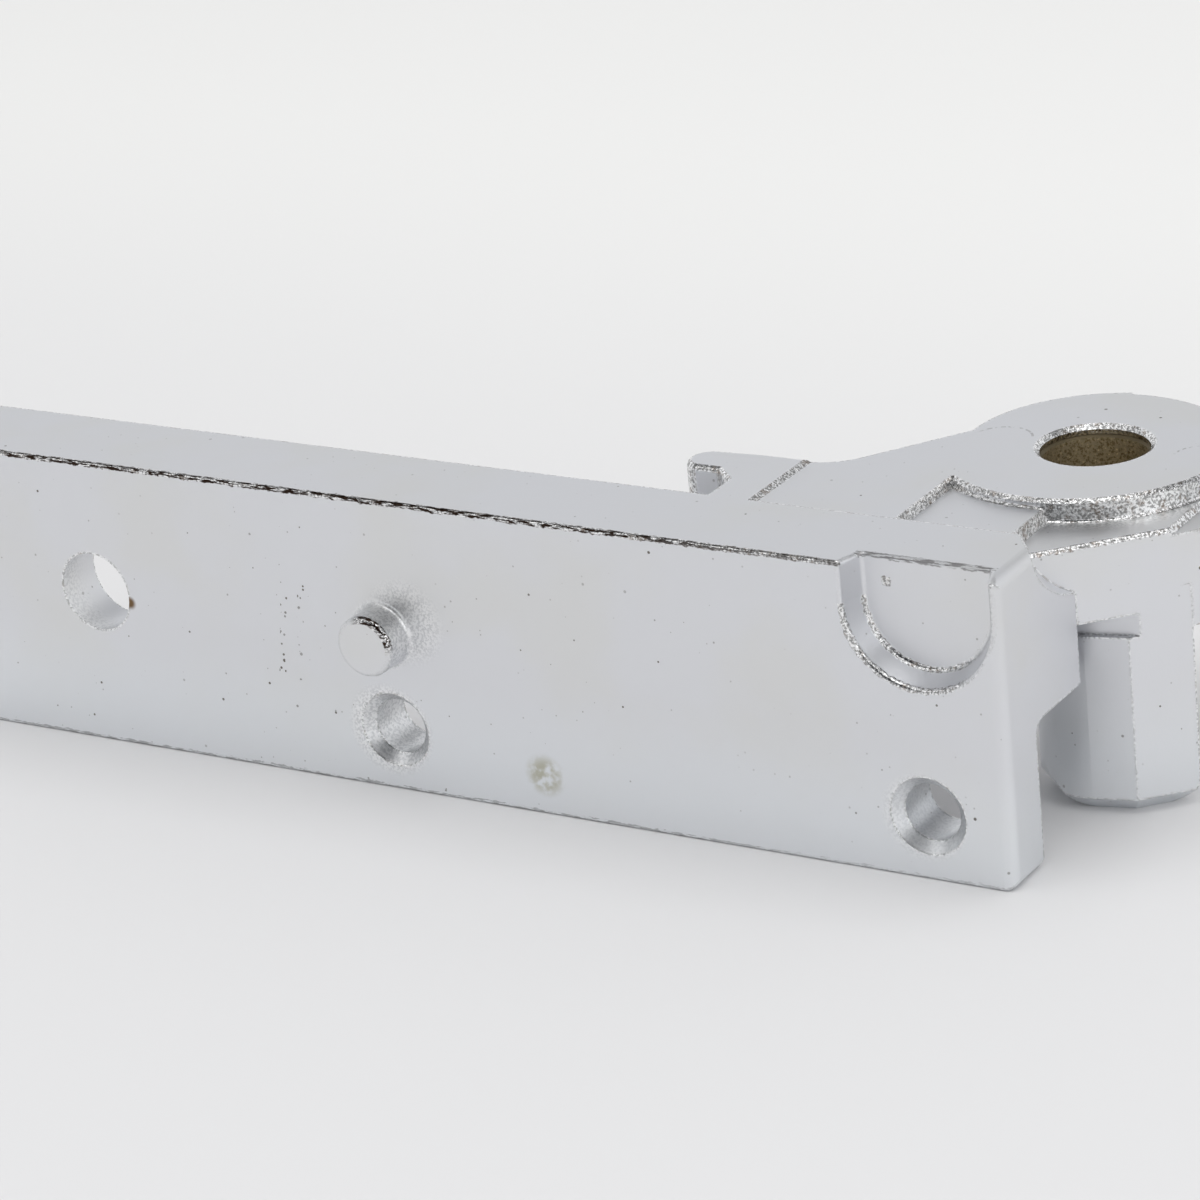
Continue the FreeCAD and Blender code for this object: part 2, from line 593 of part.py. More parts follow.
# Rims of the holes and the floor of the pocket
soften(bracket, "Chamfer", "lower_rims", "(Sizes.lower_hole_rim - Sizes.lower_hole_diameter) / 2",
       lambda edge: ring(edge, size("lower_hole_diameter") / 2, y=0))
soften(bracket, "Chamfer", "lip_rim", "Sizes.lip_chamfer",
       lambda edge: ring(edge, size("lip_diameter") / 2, z=value(DISC_TOP)))
soften(bracket, "Fillet", "pocket_floor", "Sizes.pocket_floor_round", lambda edge: (
    on_line(edge, y=size("pocket_depth")) and not on_line(edge, z=size("plate_height"))))

# Small rounds on the edges that stand out, and where the disc stands on the arm
soften(bracket, "Fillet", "plate_front", "Sizes.plate_edge_round", lambda edge: on_line(edge, y=0) and (
    on_line(edge, z=size("plate_height")) or on_line(edge, z=0)
    or edge.BoundBox.XMax < size("far_corner_round") - size("plate_length") + SLACK))
soften(bracket, "Fillet", "pocket_rim", "Sizes.pocket_rim_round", lambda edge: (
    on_line(edge, z=size("plate_height"))
    and near(edge.BoundBox.YMax, size("pocket_depth")) and edge.BoundBox.YMin > size("pocket_depth") / 2))
soften(bracket, "Fillet", "tab_rim", "Sizes.tab_edge_round", lambda edge: (
    on_line(edge, z=size("plate_height"))
    and edge.BoundBox.XMax < SLACK - size("arm_left")
    and edge.BoundBox.YMin > value(f"{TAB_FRONT} - Sizes.tab_flare") - SLACK))
soften(bracket, "Fillet", "flank_rim", "Sizes.flank_edge_round", lambda edge: (
    on_line(edge, z=value(LEVELS[3]))
    and all(near(vertex.Point.y - vertex.Point.x, size("flank_distance")) for vertex in edge.Vertexes)))
soften(bracket, "Fillet", "disc_foot", "Sizes.disc_root_round", lambda edge: (
    ring(edge, size("disc_radius")) and edge.BoundBox.ZMax < value(RIM_FOOT) - SLACK))

# Sintered bush
bush = doc.addObject("PartDesign::Body", "pivot_bush")
bush.Label = "pivot_bush"
BUSH_LENGTH = f"{DISC_TOP} - Sizes.lip_thickness - Sizes.arm_bottom"
extrude(bush, "Pad", circle(bush, "bush_outside", "XY_Plane", PIVOT, "Sizes.bush_bore / 2 + Sizes.bush_wall",
                            lift="Sizes.arm_bottom"), BUSH_LENGTH)
extrude(bush, "Pocket", circle(bush, "bush_inside", "XY_Plane", PIVOT, "Sizes.bush_bore / 2",
                               lift="Sizes.arm_bottom"), BUSH_LENGTH, backwards=True)
soften(bush, "Chamfer", "bush_mouths", "Sizes.bush_chamfer", lambda edge: ring(edge, size("bush_bore") / 2))

# The row's origin is the centre of the bush, on the pivot axis
for body in (bracket, bush):
    body.setExpression("Placement.Base.x", "Sizes.pivot_offset")
    body.setExpression("Placement.Base.y", "-Sizes.pivot_distance")
    body.setExpression("Placement.Base.z", f"-Sizes.arm_bottom - ({BUSH_LENGTH}) / 2")
doc.recompute()

for item in doc.Objects:
    if "Invalid" in item.State or "Error" in item.State:
        raise RuntimeError(f"{item.Name} failed: {item.State}")
os.makedirs("parts", exist_ok=True)
for body in (bracket, bush):
    if body.Shape.isNull() or not body.Shape.isValid():
        raise RuntimeError(f"{body.Label} has no valid shape")
    body.Shape.exportStep(f"parts/{body.Label}.step")
    print(f"{body.Label}: {body.Shape.Volume / 1000:.2f} cm3")
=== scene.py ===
"""Looks of a die-cast refrigerator door hinge: its finishes, a plain studio and the camera.

The part stands as the CAD frame has it, with its pivot axis on Z, its plate along X and its
mounting face looking along -Y. Lengths are in metres unless a name ends in _mm.
"""
import logging
import math
from dataclasses import dataclass, field
from enum import Enum
from typing import Any

import bmesh
import bpy
from mathutils import Matrix, Vector


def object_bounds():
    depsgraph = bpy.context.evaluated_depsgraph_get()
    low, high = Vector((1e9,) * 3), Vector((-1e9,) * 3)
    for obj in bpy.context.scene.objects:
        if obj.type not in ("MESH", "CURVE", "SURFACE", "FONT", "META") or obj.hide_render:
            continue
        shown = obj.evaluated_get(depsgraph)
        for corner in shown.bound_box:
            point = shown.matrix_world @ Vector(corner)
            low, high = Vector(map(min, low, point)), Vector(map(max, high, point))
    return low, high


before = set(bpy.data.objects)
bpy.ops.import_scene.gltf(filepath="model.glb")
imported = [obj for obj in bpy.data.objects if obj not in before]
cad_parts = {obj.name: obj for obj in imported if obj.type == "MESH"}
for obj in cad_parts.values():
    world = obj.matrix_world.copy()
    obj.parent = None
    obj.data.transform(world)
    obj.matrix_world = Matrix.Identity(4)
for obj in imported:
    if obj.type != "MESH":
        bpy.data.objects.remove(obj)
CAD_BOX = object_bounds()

Node = bpy.types.Node
Socket = bpy.types.NodeSocket
Tree = bpy.types.NodeTree

LOG = logging.getLogger("hinge")
MM = 0.001

# The outputs of a Separate XYZ node, by place
X, Y, Z = 0, 1, 2

# Settings that several nodes share
SMOOTH = {"interpolation_type": "SMOOTHSTEP"}
COLOURS = {"data_type": "RGBA"}
PLUS = {"operation": "ADD"}
MINUS = {"operation": "SUBTRACT"}
TIMES = {"operation": "MULTIPLY"}
LARGEST = {"operation": "MAXIMUM"}
SIZE_OF = {"operation": "ABSOLUTE"}
BELOW = {"operation": "LESS_THAN"}
ABOVE = {"operation": "GREATER_THAN"}
WITHIN = {"operation": "COMPARE"}
DISTANCE = {"operation": "DISTANCE"}


class Along(Enum):
    """The line that a round mark is centred on, as the coordinates that it keeps."""

    Y = (1.0, 0.0, 1.0)
    Z = (1.0, 1.0, 0.0)


def linear(hex_colour: str, alpha: float = 1.0) -> tuple[float, float, float, float]:
    """Turns an sRGB hex colour to the linear values that a shader socket takes.

    Args:
        hex_colour: Six hex digits after a hash sign.
        alpha: The fourth value.

    Returns:
        Linear red, green and blue, then alpha.
    """
    parts = [int(hex_colour[i : i + 2], 16) / 255 for i in (1, 3, 5)]
    turned = [c / 12.92 if c <= 0.04045 else ((c + 0.055) / 1.055) ** 2.4 for c in parts]
    return (*turned, alpha)


def add_node(
    tree: Tree,
    kind: str,
    settings: dict[str, Any] | None = None,
    inputs: dict[str | int, Any] | None = None,
) -> Node:
    """Adds one node, with its settings, socket values and links.

    Args:
        tree: The tree that takes the node.
        kind: The node's type, without the word ShaderNode.
        settings: Properties of the node, by name.
        inputs: For each input, by its name or its place: a value, an output socket, or a node
            whose first output is meant.

    Returns:
        The new node.
    """
    node = tree.nodes.new("ShaderNode" + kind)
    for name, value in (settings or {}).items():
        setattr(node, name, value)
    used = [socket for socket in node.inputs if socket.enabled]
    for place, value in (inputs or {}).items():
        socket = used[place] if isinstance(place, int) else next(s for s in used if s.name == place)
        if isinstance(value, Node):
            value = next(s for s in value.outputs if s.enabled)
        if isinstance(value, Socket):
            tree.links.new(value, socket)
        else:
            socket.default_value = value
    return node


def new_material(name: str) -> bpy.types.Material:
    """Starts a material with an empty node tree.

    Args:
        name: The finish's plain name.

    Returns:
        The material.
    """
    material = bpy.data.materials.new(name)
    material.use_nodes = True
    material.node_tree.nodes.clear()
    return material


def dress(node: bpy.types.Object, material: bpy.types.Material) -> None:
    """Gives an object one material in all its slots.

    Args:
        node: The object.
        material: The finish.
    """
    if not node.material_slots:
        node.data.materials.append(material)
    for slot in node.material_slots:
        slot.material = material


@dataclass(frozen=True)
class Ramp:
    """A step between two values: where it starts and ends, and what it gives there."""

    start: float
    end: float
    first: float = 0.0
    last: float = 1.0

    def of(self, value: Node | Socket) -> dict[str, Any]:
        """The inputs of a Map Range node that steps over a value."""
        inputs = {"Value": value, "From Min": self.start, "From Max": self.end}
        return {**inputs, "To Min": self.first, "To Max": self.last}


@dataclass(frozen=True)
class Speckle:
    """A noise: the size of its blobs, and how finely they are broken up."""

    size_mm: float
    detail: float = 2.0
    roughness: float = 0.5

    def over(self, place: Node | Socket) -> dict[str, Any]:
        """The inputs of a Noise Texture node that covers these coordinates."""
        inputs = {"Vector": place, "Scale": 1 / (self.size_mm * MM)}
        return {**inputs, "Detail": self.detail, "Roughness": self.roughness}


@dataclass(frozen=True)
class Ground:
    """What a material's patterns lie on: its tree and its object coordinates."""

    tree: Tree
    place: Socket
    x: Socket
    y: Socket
    z: Socket

    @classmethod
    def of(cls, tree: Tree) -> "Ground":
        """Adds the nodes that give the coordinates.

        Args:
            tree: The material's tree.

        Returns:
            The tree with its coordinates.
        """
        place = add_node(tree, "TexCoord").outputs["Object"]
        parts = add_node(tree, "SeparateXYZ", None, {0: place}).outputs
        return cls(tree, place, parts[X], parts[Y], parts[Z])


@dataclass(frozen=True)
class RoundMark:
    """A round mark on the casting: full at one radius and gone at the other."""

    centre_mm: tuple[float, float]
    full_mm: float
    gone_mm: float
    strength: float = 1.0
    along: Along = Along.Y

    def mask(self, at: Ground) -> Node:
        """Builds the mark's mask.

        Args:
            at: The material's ground.

        Returns:
            A node that gives the strength where the mark is full and 0 where it is gone.
        """
        first, second = (value * MM for value in self.centre_mm)
        centre = (first, 0.0, second) if self.along is Along.Y else (first, second, 0.0)
        flat = add_node(at.tree, "VectorMath", TIMES, {0: at.place, 1: self.along.value})
        away = add_node(at.tree, "VectorMath", DISTANCE, {0: flat, 1: centre})
        reach = Ramp(self.gone_mm * MM, self.full_mm * MM, last=self.strength)
        return add_node(at.tree, "MapRange", SMOOTH, reach.of(away))


@dataclass(frozen=True)
class Pits:
    """Small round pits, in a share of the cells that the surface is divided into.

    A cell is as wide as the spacing, and the radius is the largest pit's.
    """

    spacing_mm: float
    radius_mm: float
    share: float

    def mask(self, at: Ground) -> Node:
        """Builds the pits' mask.

        Args:
            at: The material's ground.

        Returns:
            A node that gives 1 in a pit and 0 outside it.
        """
        scale = 1 / (self.spacing_mm * MM)
        cells = add_node(at.tree, "TexVoronoi", None, {"Vector": at.place, "Scale": scale})
        chance = add_node(at.tree, "SeparateColor", None, {0: cells.outputs["Color"]})
        size = Ramp(1 - self.share, 1.0, last=self.radius_mm / self.spacing_mm)
        radius = add_node(at.tree, "MapRange", None, size.of(chance))
        return add_node(at.tree, "Math", BELOW, {0: cells.outputs["Distance"], 1: radius})


@dataclass(frozen=True)
class Marks:
    """Where a plated casting isn't plain buffed plate, and where glints, reflections and shade are painted,
    as masks.
    """

    low: Node
    stain: Node
    patches: Node
    grain: Node
    bare: Node
    edge_dirt_and_painted_shade: Node
    pits: Node


@dataclass(frozen=True)
class SatinPlate:
    """Satin nickel-chrome plate on a zinc die casting, buffed on its faces.

    Buffed plate looks milky and even. The wheel doesn't reach edges, steps and roots, so the
    casting's grain shows there, and its bright and dark sparkle is painted into the colour as glints and
    shaded hollows.
    """

    # Faces: cool, with wide warmer clouds left by the plating bath
    flat_colour: str = "#E3E4E7"
    warm_colour: str = "#E1E1DE"
    # Paler towards the bottom of the part
    low_colour: str = "#E9ECEF"
    haze: Speckle = Speckle(14.0, 3.0)
    haze_ramp: Ramp = Ramp(0.4, 0.7, last=0.5)

    # Unbuffed grain. The real one is about 0.05 mm across, too fine to show, so it is drawn at
    # 0.26 to 0.28 mm.
    # Its flecks are painted glints and painted shade in the grain's hollows
    shaded_hollow_colour: str = "#A3A3A2"
    patch_colour: str = "#CDCECF"
    painted_glint_colour: str = "#FCFCFC"
    fleck: Speckle = Speckle(0.26, 2.0, 0.6)
    fleck_ramp: Ramp = Ramp(0.4, 0.58)
    coarse_grain: Speckle = Speckle(0.28, 3.0, 0.6)
    coarse_height_mm: float = 0.06
    patch_height_share: float = 0.12

    # Wheel marks on the faces. The real ones are about 0.02 mm apart, so they are drawn at 0.2 mm.
    fine_grain: Speckle = Speckle(0.2)
    fine_height_mm: float = 0.006

    # Wear on edges: bare metal in blots, and streaks along a torn burr that are partly dirt and partly
    # painted dark reflection, with a painted contact shadow at the foot
    bare_colour: str = "#7A6249"
    rub: Speckle = Speckle(1.1, 4.0, 0.75)
    rub_ramp: Ramp = Ramp(0.54, 0.64, last=0.5)
    edge_dirt_and_shade_colour: str = "#33271F"
    streak: Speckle = Speckle(0.2, 3.0)
    streak_stretch: tuple[float, float, float] = (0.16, 1.0, 1.0)
    streak_ramp: Ramp = Ramp(0.46, 0.53)
    edge_width_mm: float = 0.4
    edge_samples: int = 4
    edge_ramp: Ramp = Ramp(0.985, 0.94)
    tear: Speckle = Speckle(0.5)
    tear_ramp: Ramp = Ramp(0.0, 1.0, -0.25 * MM, 0.25 * MM)
    line_ramp: Ramp = Ramp(0.48 * MM, 0.36 * MM)

    # Pits that the casting leaves under the plate, crowded in some places
    pit_colour: str = "#5F574C"
    pits: Pits = Pits(1.5, 0.17, 0.3)
    small_pits: Pits = Pits(0.75, 0.11, 0.25)
    small_pit_strength: float = 0.5
    speck_pits: Pits = Pits(0.43, 0.2, 0.7)
    pit_depth_mm: float = 0.02
    crowd: Speckle = Speckle(9.0, 1.0)
    crowd_ramp: Ramp = Ramp(0.4, 0.6, 0.35, 0.9)

    # A dried splash, and the dots of an ejector pin's line
    stain_colour: str = "#B9B7A4"
    spot: Speckle = Speckle(0.9, 3.0)
    spot_ramp: Ramp = Ramp(0.3, 0.6)
    dot: Speckle = Speckle(0.45, 1.0)
    dot_ramp: Ramp = Ramp(0.45, 0.55)

    flat_roughness: float = 0.42
    grain_roughness: float = 0.16

    def edge_mask(self, at: Ground) -> Node:
        """Finds where the surface bends away from its neighbours within the edge's width.

        Args:
            at: The material's ground.

        Returns:
            A node that gives 1 on an edge and 0 on a face.
        """
        own = add_node(at.tree, "NewGeometry").outputs["Normal"]
        inputs = {"Radius": self.edge_width_mm * MM}
        bent = add_node(at.tree, "Bevel", {"samples": self.edge_samples}, inputs)
        alike = add_node(at.tree, "VectorMath", {"operation": "DOT_PRODUCT"}, {0: own, 1: bent})
        return add_node(at.tree, "MapRange", SMOOTH, self.edge_ramp.of(alike))

    def line_mask(self, at: Ground, inward: Node, down: Node) -> Node:
        """Draws the ragged line along one edge.

        Args:
            at: The material's ground.
            inward: The distance from one of the edge's two faces.
            down: The distance from the other.

        Returns:
            A node that gives 1 on the edge's round and 0 on the faces.
        """
        tear = add_node(at.tree, "TexNoise", None, self.tear.over(at.place))
        shift = add_node(at.tree, "MapRange", None, self.tear_ramp.of(tear))
        line = None
        for way in (inward, down):
            away = add_node(at.tree, "Math", PLUS, {0: way, 1: shift})
            away = add_node(at.tree, "Math", SIZE_OF, {0: away})
            near = add_node(at.tree, "MapRange", SMOOTH, self.line_ramp.of(away))
            line = near if line is None else add_node(at.tree, "Math", TIMES, {0: line, 1: near})
        return line

    def streak_mask(self, at: Ground) -> Node:
        """Draws the streaks along X that break up the edge dirt and the painted shade.

        Args:
            at: The material's ground.

        Returns:
            A node that gives 1 in a streak and 0 beside it.
        """
        drawn_out = add_node(at.tree, "Mapping", None, {"Vector": at.place, "Scale": self.streak_stretch})
        streaks = add_node(at.tree, "TexNoise", None, self.streak.over(drawn_out))
        return add_node(at.tree, "MapRange", SMOOTH, self.streak_ramp.of(streaks))

    def colour(self, at: Ground, marks: Marks) -> Node:
        """Lays the marks' colours over the faces' colour, one after another: painted glints and painted
        shade among them.

        Args:
            at: The material's ground.
            marks: The masks.

        Returns:
            A node that gives the colour.
        """
        tree, place = at.tree, at.place
        glint = linear(self.painted_glint_colour)
        cloud = add_node(tree, "TexNoise", None, self.haze.over(place))
        cloud = add_node(tree, "MapRange", SMOOTH, self.haze_ramp.of(cloud))
        inputs = {"Factor": cloud, "A": linear(self.flat_colour), "B": linear(self.warm_colour)}
        colour = add_node(tree, "Mix", COLOURS, inputs)

        flecks = add_node(tree, "TexNoise", None, self.fleck.over(place))
        flecks = add_node(tree, "MapRange", SMOOTH, self.fleck_ramp.of(flecks))
        inputs = {"Factor": flecks, "A": linear(self.shaded_hollow_colour), "B": glint}
        edge_glints_and_shade = add_node(tree, "Mix", COLOURS, inputs)
        inputs = {"Factor": flecks, "A": linear(self.patch_colour), "B": glint}
        patch_glints = add_node(tree, "Mix", COLOURS, inputs)

        rub = add_node(tree, "TexNoise", None, self.rub.over(place))
        rub = add_node(tree, "MapRange", SMOOTH, self.rub_ramp.of(rub))
        rub = add_node(tree, "Math", TIMES, {0: marks.grain, 1: rub})
        bare = add_node(tree, "Math", LARGEST, {0: rub, 1: marks.bare})

        crowd = add_node(tree, "TexNoise", None, self.crowd.over(place))
        crowd = add_node(tree, "MapRange", SMOOTH, self.crowd_ramp.of(crowd))
        inked = add_node(tree, "Math", TIMES, {0: marks.pits, 1: crowd})

        for mask, laid in (
            (marks.low, linear(self.low_colour)),
            (marks.stain, linear(self.stain_colour)),
            (marks.patches, patch_glints),
            (marks.grain, edge_glints_and_shade),
            (bare, linear(self.bare_colour)),
            (marks.edge_dirt_and_painted_shade, linear(self.edge_dirt_and_shade_colour)),
            (inked, linear(self.pit_colour)),
        ):
            colour = add_node(tree, "Mix", COLOURS, {"Factor": mask, "A": colour, "B": laid})
        return colour

    def relief(self, at: Ground, grain: Node, pits: Node) -> Node:
        """Raises the wheel marks and the grain, and sinks the pits.

        Args:
            at: The material's ground.
            grain: The mask of the unbuffed grain.
            pits: The mask of the pits.

        Returns:
            A node that gives the bumped normal.
        """
        tree = at.tree
        fine = add_node(tree, "TexNoise", None, self.fine_grain.over(at.place))
        marks = add_node(tree, "Math", TIMES, {0: fine, 1: self.fine_height_mm * MM})
        coarse = add_node(tree, "TexNoise", None, self.coarse_grain.over(at.place))
        lumps = add_node(tree, "Math", TIMES, {0: coarse, 1: grain})
        lumps = add_node(tree, "Math", TIMES, {0: lumps, 1: self.coarse_height_mm * MM})
        height = add_node(tree, "Math", PLUS, {0: marks, 1: lumps})
        dents = add_node(tree, "Math", TIMES, {0: pits, 1: self.pit_depth_mm * MM})
        height = add_node(tree, "Math", MINUS, {0: height, 1: dents})
        return add_node(tree, "Bump", None, {"Distance": 1.0, "Height": height})

    def lay(self, at: Ground, marks: Marks) -> None:
        """Puts the finished surface in the material.

        Args:
            at: The material's ground.
            marks: The masks.
        """
        tree = at.tree
        soft = add_node(tree, "Math", TIMES, {0: marks.patches, 1: self.patch_height_share})
        grain = add_node(tree, "Math", LARGEST, {0: marks.grain, 1: soft})
        gloss = Ramp(0.0, 1.0, self.flat_roughness, self.grain_roughness)
        inputs = {
            "Base Color": self.colour(at, marks),
            "Metallic": 1.0,
            "Roughness": add_node(tree, "MapRange", None, gloss.of(grain)),
            "Normal": self.relief(at, grain, marks.pits),
        }
        shader = add_node(tree, "BsdfPrincipled", None, inputs)
        add_node(tree, "OutputMaterial", None, {"Surface": shader})


@dataclass(frozen=True)
class OiledBronze:
    """Oil-soaked sintered bronze: pressed powder, so the wall is dull, brown and open-grained."""

    body_colour: str = "#C0B397"
    pore_colour: str = "#8B7C5B"
    # Painted glints on the powder's grains
    painted_glint_colour: str = "#F6E6C0"
    mouth_colour: str = "#6B614C"
    roughness: float = 0.5

    # The powder's grains are about 0.1 mm across, too fine to show, so they are drawn at 0.3 mm
    powder: Speckle = Speckle(0.3, 3.0, 0.7)
    pore_ramp: Ramp = Ramp(0.52, 0.38)
    glint_ramp: Ramp = Ramp(0.6, 0.68)
    mouth_ramp: Ramp = Ramp(0.2, 0.5)
    pore_height_mm: float = 0.02

    def material(self) -> bpy.types.Material:
        """Builds the bearing's material, darker on the chamfer at its mouth.

        Returns:
            The material.
        """
        material = new_material("oiled_sintered_bronze")
        tree = material.node_tree
        place = add_node(tree, "TexCoord").outputs["Object"]
        powder = add_node(tree, "TexNoise", None, self.powder.over(place))
        way = add_node(tree, "NewGeometry").outputs["True Normal"]
        upward = add_node(tree, "SeparateXYZ", None, {0: way}).outputs[Z]
        colour = linear(self.body_colour)
        for ramp, value, laid in (
            (self.pore_ramp, powder, self.pore_colour),
            (self.glint_ramp, powder, self.painted_glint_colour),
            (self.mouth_ramp, upward, self.mouth_colour),
        ):
            mask = add_node(tree, "MapRange", SMOOTH, ramp.of(value))
            colour = add_node(tree, "Mix", COLOURS, {"Factor": mask, "A": colour, "B": linear(laid)})
        height = add_node(tree, "Math", TIMES, {0: powder, 1: self.pore_height_mm * MM})
        bump = add_node(tree, "Bump", None, {"Distance": 1.0, "Height": height})
        inputs = {"Base Color": colour, "Metallic": 1.0, "Roughness": self.roughness, "Normal": bump}
        shader = add_node(tree, "BsdfPrincipled", None, inputs)
        add_node(tree, "OutputMaterial", None, {"Surface": shader})
        return material


@dataclass(frozen=True)
class MattLaminate:
    """A matt white laminate tabletop: no mirror image, only a soft shade, and painted paler further back as
    painted light.
    """

    near_colour: str = "#E0E0E1"
    far_colour: str = "#ECECEB"
    back: Ramp = Ramp(0.01, 0.17)
    haze: Speckle = Speckle(160.0, 3.0)
    roughness: Ramp = Ramp(0.0, 1.0, 0.6, 0.7)

    def material(self) -> bpy.types.Material:
        """Builds the tabletop's material.

        Returns:
            The material.
        """
        material = new_material("matt_white_laminate")
        tree = material.node_tree
        place = add_node(tree, "TexCoord").outputs["Object"]
        depth = add_node(tree, "SeparateXYZ", None, {0: place}).outputs[Y]
        far = add_node(tree, "MapRange", SMOOTH, self.back.of(depth))
        inputs = {"Factor": far, "A": linear(self.near_colour), "B": linear(self.far_colour)}
        colour = add_node(tree, "Mix", COLOURS, inputs)
        haze = add_node(tree, "TexNoise", None, self.haze.over(place))
        roughness = add_node(tree, "MapRange", None, self.roughness.of(haze))
        shader = add_node(tree, "BsdfPrincipled", None, {"Base Color": colour, "Roughness": roughness})
        add_node(tree, "OutputMaterial", None, {"Surface": shader})
        return material


@dataclass
class HingeBracket:
    """The cast bracket: plate, arm, eye, peg and post in one piece."""

    node: str = "hinge_bracket"
    finish: SatinPlate = field(default_factory=SatinPlate)

    # Places of the casting's own faces
    mounting_face: float = -33.85 * MM
    plate_back: float = -28.0 * MM
    top_face: float = 6.775 * MM
    foot: float = -23.225 * MM
    flank_shift: float = -25.45 * MM
    peg_face: float = -37.1 * MM
    shelf: float = 4.275 * MM
    shelf_reach: float = 0.4 * MM

    # The pocket in the mounting face: its rim and its floor's round, each with its depth
    pocket_middle: float = -1.6 * MM
    pocket_half_width: float = 7.0 * MM
    pocket_centre: float = 2.775 * MM
    pocket_depth: float = 2.7 * MM
    pocket_rim_radius: float = 7.3 * MM
    pocket_floor_radius: float = 6.6 * MM
    pocket_left: Ramp = Ramp(4.0 * MM, 1.0 * MM)

    # Unbuffed places: round the peg and in the screw holes, the eye's lip, the disc's root; their flecks
    # are painted glints
    rough_patches: tuple[RoundMark, ...] = (
        RoundMark((-56.6, -5.4), 2.4, 5.0, 0.6),
        RoundMark((-59.3, -7.0), 2.9, 4.0, 0.4),
        RoundMark((-2.1, -17.1), 3.6, 4.7, 0.3),
        RoundMark((-59.7, -17.0), 3.6, 5.2, 0.6),
        RoundMark((-93.6, -7.0), 3.9, 4.5, 0.6),
    )
    lip: RoundMark = RoundMark((0.0, 0.0), 4.9, 5.9, 0.9, Along.Z)
    disc_root: RoundMark = RoundMark((-0.65, -0.25), 14.3, 16.8, 0.8, Along.Z)

    # Step walls and the disc's rim, by how far they lean and where they stand
    leaning: Ramp = Ramp(0.999, 0.985)
    off_flank: Ramp = Ramp(0.2 * MM, 0.5 * MM)
    off_plate: Ramp = Ramp(-27.0 * MM, -24.0 * MM)
    above_shelf: Ramp = Ramp(3.0 * MM, 3.6 * MM)
    facing_ahead: Ramp = Ramp(0.6, 0.3)

    # Wear and dirt, painted shade and reflections along edges and on the peg's tip, and paler lower faces
    foot_shadow_strength: float = 0.4
    flank_dirt_and_reflection_strength: float = 0.3
    edge_dirt_and_shade_fade: Ramp = Ramp(-32.0 * MM, -12.0 * MM, 1.0, 0.55)
    stain: RoundMark = RoundMark((-42.5, -19.2), 0.9, 2.5, 0.85)
    crescent: RoundMark = RoundMark((-89.5, -7.7), 0.3, 0.85)
    low_face: Ramp = Ramp(-9.0 * MM, -20.0 * MM, last=0.8)
    peg_reflection_ring: RoundMark = RoundMark((-59.3, -7.025), 2.55, 2.4)
    peg_side: RoundMark = RoundMark((-57.7, -4.825), 1.9, 2.9)
    peg_tip: Ramp = Ramp(-36.6 * MM, -36.75 * MM)

    # Two leaning lines of specks left of the peg
    speck_lean: float = 0.16
    speck_lines: tuple[float, float] = (-69.75 * MM, -67.8 * MM)
    speck_half_width: float = 0.4 * MM
    speck_middle: float = -8.1 * MM
    speck_half_length: float = 5.1 * MM

    # Arcs that the ejector pins left on the disc
    pin_centres: tuple[tuple[float, float], ...] = ((-9.2 * MM, -0.95 * MM), (11.0 * MM, 0.0))
    pin_radius: float = 2.9 * MM
    pin_half_width: float = 0.12 * MM
    pin_back: Ramp = Ramp(-0.4 * MM, 0.6 * MM)
    pin_level: float = 6.0 * MM

    def patch_mask(self, at: Ground, in_plate: Node) -> Node:
        """Gathers the soft unbuffed patches of the plate and the disc's root.

        Args:
            at: The material's ground.
            in_plate: The mask of the plate's thickness.

        Returns:
            A node that gives each patch's strength, and 0 elsewhere.
        """
        tree = at.tree
        patches, *others = [patch.mask(at) for patch in self.rough_patches]
        for other in others:
            patches = add_node(tree, "Math", LARGEST, {0: patches, 1: other})
        off_peg = add_node(tree, "Math", ABOVE, {0: at.y, 1: self.peg_face})
        for limit in (off_peg, in_plate):
            patches = add_node(tree, "Math", TIMES, {0: patches, 1: limit})
        on_shelf = add_node(tree, "Math", WITHIN, {0: at.z, 1: self.shelf, 2: self.shelf_reach})
        root = add_node(tree, "Math", TIMES, {0: self.disc_root.mask(at), 1: on_shelf})
        return add_node(tree, "Math", LARGEST, {0: patches, 1: root})

    def slope_mask(self, at: Ground) -> Node:
        """Finds the walls of the steps and the disc's rim, which face neither up nor along an axis.

        Args:
            at: The material's ground.

        Returns:
            A node that gives 1 on such a wall and 0 elsewhere.
        """
        tree = at.tree
        way = add_node(tree, "NewGeometry").outputs["True Normal"]
        facing = add_node(tree, "VectorMath", SIZE_OF, {0: way})
        parts = add_node(tree, "SeparateXYZ", None, {0: facing}).outputs
        most = add_node(tree, "Math", LARGEST, {0: parts[X], 1: parts[Y]})
        most = add_node(tree, "Math", LARGEST, {0: most, 1: parts[Z]})
        behind = add_node(tree, "Math", MINUS, {0: at.y, 1: at.x})
        behind = add_node(tree, "Math", MINUS, {0: behind, 1: self.flank_shift})
        backward = add_node(tree, "SeparateXYZ", None, {0: way}).outputs[Y]
        slope = add_node(tree, "MapRange", SMOOTH, self.leaning.of(most))
        for ramp, value in (
            (self.off_flank, behind),
            (self.off_plate, at.y),
            (self.facing_ahead, backward),
            (self.above_shelf, at.z),
        ):
            limit = add_node(tree, "MapRange", SMOOTH, ramp.of(value))
            slope = add_node(tree, "Math", TIMES, {0: slope, 1: limit})
        return slope

